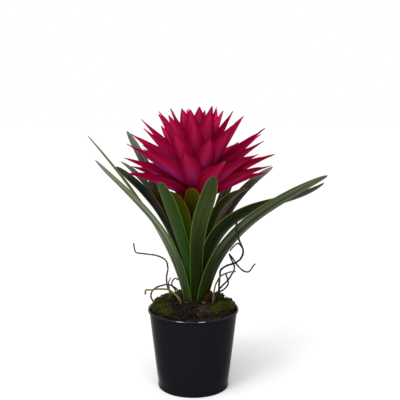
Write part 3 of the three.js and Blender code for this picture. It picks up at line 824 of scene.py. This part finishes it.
class BROMELIAD_OT_soil(bpy.types.Operator):
    """Build the mound of soil with its loose crumbs and fibres"""
    bl_idname = "bromeliad.soil"
    bl_label = "Soil"

    def execute(self, context):
        ground = settings().ground
        self.mound(ground)
        self.crumbs(ground)
        self.fibres(ground)
        return {"FINISHED"}

    def surface(self, x, y):
        """Height in metres of the rough soil at a place in millimetres."""
        rough = noise.fractal(Vector((x, y, 3)) * 0.16, 1.0, 2.2, 4) * 1.3
        return (soil_height(x, y) - 0.6 + rough) * MM

    def mound(self, ground):
        bm, _ = new_mesh()
        radius, edge, rings = SOIL["radius"] * MM, SOIL["edge_height"] * MM, 44
        profile = [(x * MM, z * MM) for x, z in SOIL["outline"]]
        profile += [(radius * (1 - i / rings), edge) for i in range(rings + 1)]
        spun(bm, profile, 150)
        for vert in bm.verts:
            if vert.co.z > edge - MM:
                vert.co.z = self.surface(vert.co.x / MM, vert.co.y / MM)
        finished(bm, "soil_mound", soil_finish(ground), ["soil"])

    def crumbs(self, ground):
        bm, (tone,) = new_mesh("tone")
        draw = random.Random(11)
        for _ in range(ground.crumbs):
            x, y = polar(CRUMB["reach"] * math.sqrt(draw.random()), draw.uniform(0, math.tau))
            size = draw.uniform(*CRUMB["fine" if draw.random() < CRUMB["fine_share"] else "coarse"])
            place = Matrix.Translation((x * MM, y * MM, self.surface(x, y) + CRUMB["lift"] * size * MM))
            turn = Matrix.Rotation(draw.uniform(0, math.tau), 4, Vector((draw.random(), draw.random(), 0.5)))
            stretch = Matrix.Diagonal((1.3, draw.uniform(0.6, 1), draw.uniform(0.45, 0.9), 1))
            grain = bmesh.ops.create_icosphere(
                bm, subdivisions=1, radius=size * MM, matrix=place @ turn @ stretch)
            own_tone = draw.random()
            for vert in grain["verts"]:
                vert.co += random_way(draw) * CRUMB["rough"] * size * MM
                vert[tone] = own_tone
        self.clods(bm, tone, draw, ground)
        finished(bm, "soil_crumbs", crumb_finish(ground), [], math.radians(35))

    def clods(self, bm, tone, draw, ground):
        """Larger clods of soil, heaped at the front left."""
        for _ in range(ground.clods):
            (x, y), size = spot_on_soil(draw, CLOD["heap"]), draw.uniform(*CLOD["sizes"])
            if math.hypot(x, y) > CLOD["reach"]:
                continue
            place = Vector((x * MM, y * MM, self.surface(x, y) + CLOD["lift"] * size * MM))
            clod = bmesh.ops.create_icosphere(bm, subdivisions=3, radius=size * MM)["verts"]
            for vert in clod:
                rough = 1 + 0.5 * noise.noise(vert.co * 420 + place * 300)
                rough += 0.22 * noise.noise(vert.co * 1500)
                vert.co = place + Vector((vert.co.x, vert.co.y, vert.co.z * CLOD["flatness"])) * rough
                vert[tone] = 0.25 + 0.7 * noise.noise(vert.co * 500)

    def fibres(self, ground):
        bm, (along, around, tone) = new_mesh("along", "around", "tone")
        draw = random.Random(23)
        for i in range(ground.fibres):
            front = i < FIBRE["front_share"] * ground.fibres
            x, y = spot_on_soil(draw, FIBRE["front" if front else "anywhere"])
            if math.hypot(x, y) > FIBRE["reach"]:
                continue
            heading, bend = draw.uniform(0, math.tau), draw.uniform(-0.5, 0.5)
            route, own_tone = [], draw.random()
            for _ in range(FIBRE["joints"]):
                lift = draw.uniform(*FIBRE["lifts"]) * MM
                route.append(Vector((x * MM, y * MM, self.surface(x, y) + lift)))
                x, y = polar(FIBRE["joint_length"], heading, x, y)
                heading += bend
            first = len(bm.verts)
            add_strand(bm, (along, around), route, lambda share: FIBRE["radius"] * MM * (1.1 - share), 4)
            bm.verts.ensure_lookup_table()
            for vert in bm.verts[first:]:
                vert[tone] = own_tone
        finished(bm, "soil_fibres", fibre_finish(ground), [])


class BROMELIAD_OT_moss(bpy.types.Operator):
    """Build the three patches of moss"""
    bl_idname = "bromeliad.moss"
    bl_label = "Moss"

    def execute(self, context):
        ground = settings().ground
        material = moss_finish(ground)
        rule, draw = seeded(MOSS["seed"]), random.Random(5)
        for name, (start, end) in MOSS_ARCS.items():
            bm, layers = new_mesh("along", "tone")
            count = round(math.radians(end - start) * MOSS["ring"] / MOSS["spacing"])
            for i in range(count + 1):
                angle = math.radians(lerp(start, end, i / count))
                ring = MOSS["ring"] + MOSS["spread"] * (2 * next(rule) - 1)
                size = MOSS["cushion"] * (0.85 + 0.4 * next(rule))
                next(rule)
                self.cushion(bm, layers, *polar(ring, angle), size, ground, draw)
            finished(bm, f"{name}_tufts", material, [name])
        return {"FINISHED"}

    def cushion(self, bm, layers, x, y, size, ground, draw):
        """A lumpy cushion with tufts all over its upper side."""
        along, tone = layers
        centre = Vector((x, y, soil_height(x, y)))
        body = bmesh.ops.create_icosphere(bm, subdivisions=3, radius=1)["verts"]
        spots = []
        for vert in body:
            way = vert.co.copy()
            bulge = 1 + 0.28 * noise.noise(way * 2.1 + centre * 0.1) + 0.1 * noise.noise(way * 7 + centre)
            place = centre + Vector((way.x * size, way.y * size, way.z * MOSS["rise"])) * (bulge * 0.92)
            vert.co = self.inside(place) * MM
            vert[along], vert[tone] = 0.3, 0.35 + 0.5 * noise.noise(way * 4 + centre)
            if way.z > 0.05:
                spots.append((place, way))
        for _ in range(ground.tufts):
            place, way = spots[draw.randrange(len(spots))]
            foot = self.inside(place + random_way(draw, -0.4, 0.4)) * MM
            lean = (way + random_way(draw, low=0) * TUFT["lean"]).normalized()
            height = ground.tuft_length * draw.uniform(*TUFT["heights"])
            spot = Matrix.Translation(foot + lean * height * TUFT["lift"])
            tuft = bmesh.ops.create_cone(
                bm, cap_ends=True, segments=4, radius1=height * TUFT["width"], radius2=0, depth=height,
                matrix=spot @ lean.to_track_quat("Z", "Y").to_matrix().to_4x4())
            own_tone = draw.random()
            for vert in tuft["verts"]:
                is_point = (vert.co - foot).length > height / 2
                vert[along], vert[tone] = 1.0 if is_point else 0.1, own_tone

    def inside(self, place):
        """Keeps a point within the pot's rim."""
        reach = math.hypot(place.x, place.y)
        if reach > MOSS["trim"]:
            place = Vector((place.x * MOSS["trim"] / reach, place.y * MOSS["trim"] / reach, place.z))
        return place


class BROMELIAD_OT_roots(bpy.types.Operator):
    """Build the wiry air roots"""
    bl_idname = "bromeliad.roots"
    bl_label = "Air roots"

    def execute(self, context):
        root = settings().root
        finishes = {
            "red": root_finish("root_red_brown", root.red, "#6a4a40"),
            "dark": root_finish("root_dark", root.dark, "#4a423c"),
            "pale": root_finish("root_pale_olive", root.pale, "#8a865c"),
        }
        draw = random.Random(41)
        for name, (diameter, kind, points) in ROOTS.items():
            bm, layers = new_mesh("along", "around")
            self.strand(bm, layers, root, points, diameter, draw)
            if name == "root_right_curl":
                self.strand(bm, layers, root, BRANCH[1], BRANCH[0], draw)
            self.hairs(bm, layers, points, diameter, draw)
            finished(bm, f"{name}_strand", finishes[kind], [name])
        return {"FINISHED"}

    def strand(self, bm, layers, root, points, diameter, draw):
        """The root itself, thinner to its end and swollen at its knots."""
        route = [point * MM for point in smooth_route(points, root.step / MM)]
        offset = draw.uniform(0, 50)

        def radius_at(share):
            taper = diameter / 2 * MM * lerp(*ROOT["taper"], share)
            knots = noise.noise(Vector((share * len(route) * 0.35 + offset, 0, 0)))
            return taper + root.knot * knots * min(1, 12 * (1 - share) + 0.3)

        for point in route:
            point += drift(point * 120 + Vector((offset, 0, 0))) * ROOT["wander"] * MM
        add_strand(bm, layers, route, radius_at, ROOT["sides"])

    def hairs(self, bm, layers, points, diameter, draw):
        """A few short rootlets."""
        route = smooth_route(points, 4)
        for _ in range(ROOT["hairs"]):
            place = route[draw.randrange(len(route) // 3, len(route) - 1)]
            way, bend = random_way(draw, high=0.6).normalized(), random_way(draw) * 0.4
            tail = [(place + way * step + bend * step * step * 0.12) * MM for step in ROOT["hair_steps"]]
            width = ROOT["hair_width"] * diameter * MM
            add_strand(bm, layers, tail, lambda share: width * (1.15 - share), 4)


class BROMELIAD_OT_leaves(bpy.types.Operator):
    """Build the rosette of strap leaves and the red leaf base"""
    bl_idname = "bromeliad.leaves"
    bl_label = "Leaves"

    def execute(self, context):
        leaf = settings().leaf
        for order, (name, facts) in enumerate(LEAVES.items()):
            whorl, azimuth, sway, length, rises, widths, roll, kind = facts
            shape = leaf_shape(azimuth, WHORL[whorl], widths)
            shape.update(
                LEAF, sway=sway, length=length, rises=rises, widths=widths, roll=roll, seed=order * 3.1,
                base_thickness=leaf.base_thickness / MM, tip_thickness=leaf.tip_thickness / MM,
                wave=leaf.wave / MM)
            bm, layers = new_mesh("across", "along")
            add_blade(bm, layers, shape, leaf.columns, leaf.rows)
            slot = "inner_leaf" if "inner" in name else "leaf"
            finished(bm, f"{name}_blade", leaf_finish(f"{name}_green", kind, order * 1.7, leaf), [name])
        shape = {**leaf_shape(SHEATH["azimuth"], SHEATH["radius"], SHEATH["widths"]), **SHEATH}
        bm, layers = new_mesh("across", "along")
        add_blade(bm, layers, shape, 10, 14)
        finished(bm, "basal_sheath_blade", sheath_finish(), ["basal_sheath"])
        return {"FINISHED"}


class BROMELIAD_OT_stem(bpy.types.Operator):
    """Build the ringed stem, which leans a little to the head"""
    bl_idname = "bromeliad.stem"
    bl_label = "Stem"

    def execute(self, context):
        bm, _ = new_mesh()
        thick, thin, shoulder, neck = (STEM[part] * MM for part in ("thick", "thin", "shoulder", "neck"))
        low, top, rings = STEM_LOW.z, STEM_HIGH.z, STEM["rings"]
        profile = [(0, low), (thick, low), (thick, STEM["foot"] * MM)]
        for i in range(rings + 1):
            height = lerp(STEM["first_ring"] * MM, top - MM, i / rings)
            share = min(1, max(0, (height - shoulder) / (neck - shoulder)))
            profile.append((lerp(thick, thin, share) * (1 if i % 2 else STEM["groove"]), height))
        profile += [(thin, top), (0, top)]
        spun(bm, profile, 24)
        for vert in bm.verts:
            share = min(1, max(0, (vert.co.z - shoulder) / (HEAD["foot_height"] * MM - shoulder)))
            vert.co.x += lerp(PLANT["x"], HEAD["x"], share * share * (3 - 2 * share)) * MM
        finished(bm, "stem_ringed", stem_finish(settings().head), ["stem"])
        return {"FINISHED"}


class BROMELIAD_OT_head(bpy.types.Operator):
    """Build the head of crimson bracts, from spreading ones at its foot to upright ones on top"""
    bl_idname = "bromeliad.head"
    bl_label = "Bract head"

    def execute(self, context):
        head = settings().head
        bm, layers = new_mesh("across", "along", "tone", "outer")
        _, _, tone, outer = layers
        draw = seeded(HEAD["seed"])
        for order in range(HEAD["bracts"]):
            shape = self.bract(order, draw)
            share = order / (HEAD["bracts"] - 1)
            extra = ((tone, (order * 0.618) % 1), (outer, max(0, 1 - 1.5 * share)))
            add_blade(bm, layers, shape, head.columns, head.rows, extra)
        core = Matrix.Translation(Vector((HEAD["x"], HEAD["y"], HEAD["core_height"])) * MM)
        bmesh.ops.create_uvsphere(
            bm, u_segments=24, v_segments=12, radius=HEAD["core_radius"] * MM, matrix=core)
        finished(bm, "bract_head_blades", bract_finish(head), ["bract_head"])
        return {"FINISHED"}

    def bract(self, order, draw):
        """Shape of one bract by its place in the spiral."""
        share = order / (HEAD["bracts"] - 1)
        slack = 1 - share
        azimuth = HEAD["first_angle"] + order * HEAD["golden_angle"]
        azimuth += BRACT["heading_varies"] * (2 * next(draw) - 1)
        heading = math.radians(azimuth)
        reach = BRACT["root_radius"] * math.sin(math.pi * (0.25 + 0.75 * share))
        height = lerp(BRACT["low_root"], BRACT["high_root"], share)
        rise = lerp(BRACT["low_rise"], BRACT["high_rise"], share ** BRACT["crowding"])
        rise += BRACT["rise_varies"] * slack * (2 * next(draw) - 1)
        rise = lerp(rise, BRACT["high_rise"], BRACT["front_lift"] * max(0, -math.sin(heading)) ** 2)
        length = blend(share, BRACT["lengths"]) + BRACT["length_varies"] * (2 * next(draw) - 1)
        roll = BRACT["roll_varies"] * slack * (2 * next(draw) - 1)
        return {
            **BRACT, "azimuth": azimuth, "start": (*polar(reach, heading, HEAD["x"], HEAD["y"]), height),
            "length": length, "roll": roll, "seed": order * 2.3,
            "rises": [rise + turn * slack for turn in BRACT["arch"]],
        }


class BROMELIAD_OT_stage(bpy.types.Operator):
    """Set the plain floor, the soft studio lights and the camera"""
    bl_idname = "bromeliad.stage"
    bl_label = "Stage"

    def execute(self, context):
        stage = settings().stage
        scene = context.scene
        scene.view_settings.view_transform = "Standard"
        self.floor(stage)
        scene.world = self.room(stage)
        for name, place in KEY_LIGHTS.items():
            self.lamp(name, "AREA", place, shape="RECTANGLE", size=0.45, size_y=0.15, energy=stage.key_power)
        self.lamp("soft_sun", "SUN", SUN_PLACE, angle=math.radians(50), energy=stage.sun_strength)
        camera = bpy.data.cameras.new("camera")
        camera.sensor_width = 36
        camera.lens = stage.lens
        scene.camera = placed("camera", camera)
        scene.camera.location = stage.camera_place
        scene.camera.rotation_euler = (math.pi / 2 - stage.camera_pitch, 0, 0)
        return {"FINISHED"}

    def room(self, stage):
        """A pale room that looks plain white behind the plant."""
        world = bpy.data.worlds.new("pale_room")
        world.use_nodes = True
        nodes, links = world.node_tree.nodes, world.node_tree.links
        light = nodes["Background"]
        light.inputs["Color"].default_value = (1, 1, 1, 1)
        light.inputs["Strength"].default_value = stage.sky
        backdrop = nodes.new("ShaderNodeBackground")
        backdrop.inputs["Color"].default_value = (1, 1, 1, 1)
        mix = nodes.new("ShaderNodeMixShader")
        links.new(nodes.new("ShaderNodeLightPath").outputs["Is Camera Ray"], mix.inputs[0])
        links.new(light.outputs[0], mix.inputs[1])
        links.new(backdrop.outputs[0], mix.inputs[2])
        links.new(mix.outputs[0], nodes["World Output"].inputs["Surface"])
        return world

    def floor(self, stage):
        bm = bmesh.new()
        bmesh.ops.create_grid(bm, x_segments=1, y_segments=1, size=6)
        meshed(bm, "floor", Finish("floor_pale", 0.9, 0.1).colour(stage.floor_colour))

    def lamp(self, name, kind, place, **facts):
        """A soft light that faces the plant."""
        light = bpy.data.lights.new(name, kind)
        for fact, value in facts.items():
            setattr(light, fact, value)
        lamp = placed(name, light)
        lamp.location = place
        lamp.rotation_euler = (Vector(place) - LIT_POINT).to_track_quat("Z", "Y").to_euler()


class BROMELIAD_PT_panel(bpy.types.Panel):
    """Sidebar panel with every step of the plant"""
    bl_idname = "BROMELIAD_PT_panel"
    bl_label = "Potted bromeliad"
    bl_space_type = "VIEW_3D"
    bl_region_type = "UI"
    bl_category = "Bromeliad"

    def draw(self, context):
        for step in STEPS:
            self.layout.operator(step.bl_idname)


STEPS = (
    BROMELIAD_OT_pot, BROMELIAD_OT_soil, BROMELIAD_OT_moss, BROMELIAD_OT_roots, BROMELIAD_OT_leaves,
    BROMELIAD_OT_stem, BROMELIAD_OT_head, BROMELIAD_OT_stage,
)
CLASSES = (
    PotSettings, GroundSettings, LeafSettings, HeadSettings, RootSettings, StageSettings, BromeliadSettings,
    *STEPS, BROMELIAD_PT_panel,
)


def register():
    for cls in CLASSES:
        bpy.utils.register_class(cls)
    bpy.types.Scene.bromeliad = PointerProperty(type=BromeliadSettings)


def unregister():
    del bpy.types.Scene.bromeliad
    for cls in reversed(CLASSES):
        bpy.utils.unregister_class(cls)


def main():
    register()
    bpy.ops.bromeliad.pot()
    bpy.ops.bromeliad.soil()
    bpy.ops.bromeliad.moss()
    bpy.ops.bromeliad.roots()
    bpy.ops.bromeliad.leaves()
    bpy.ops.bromeliad.stem()
    bpy.ops.bromeliad.head()
    bpy.ops.bromeliad.stage()
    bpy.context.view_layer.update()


if __name__ == "__main__":
    main()
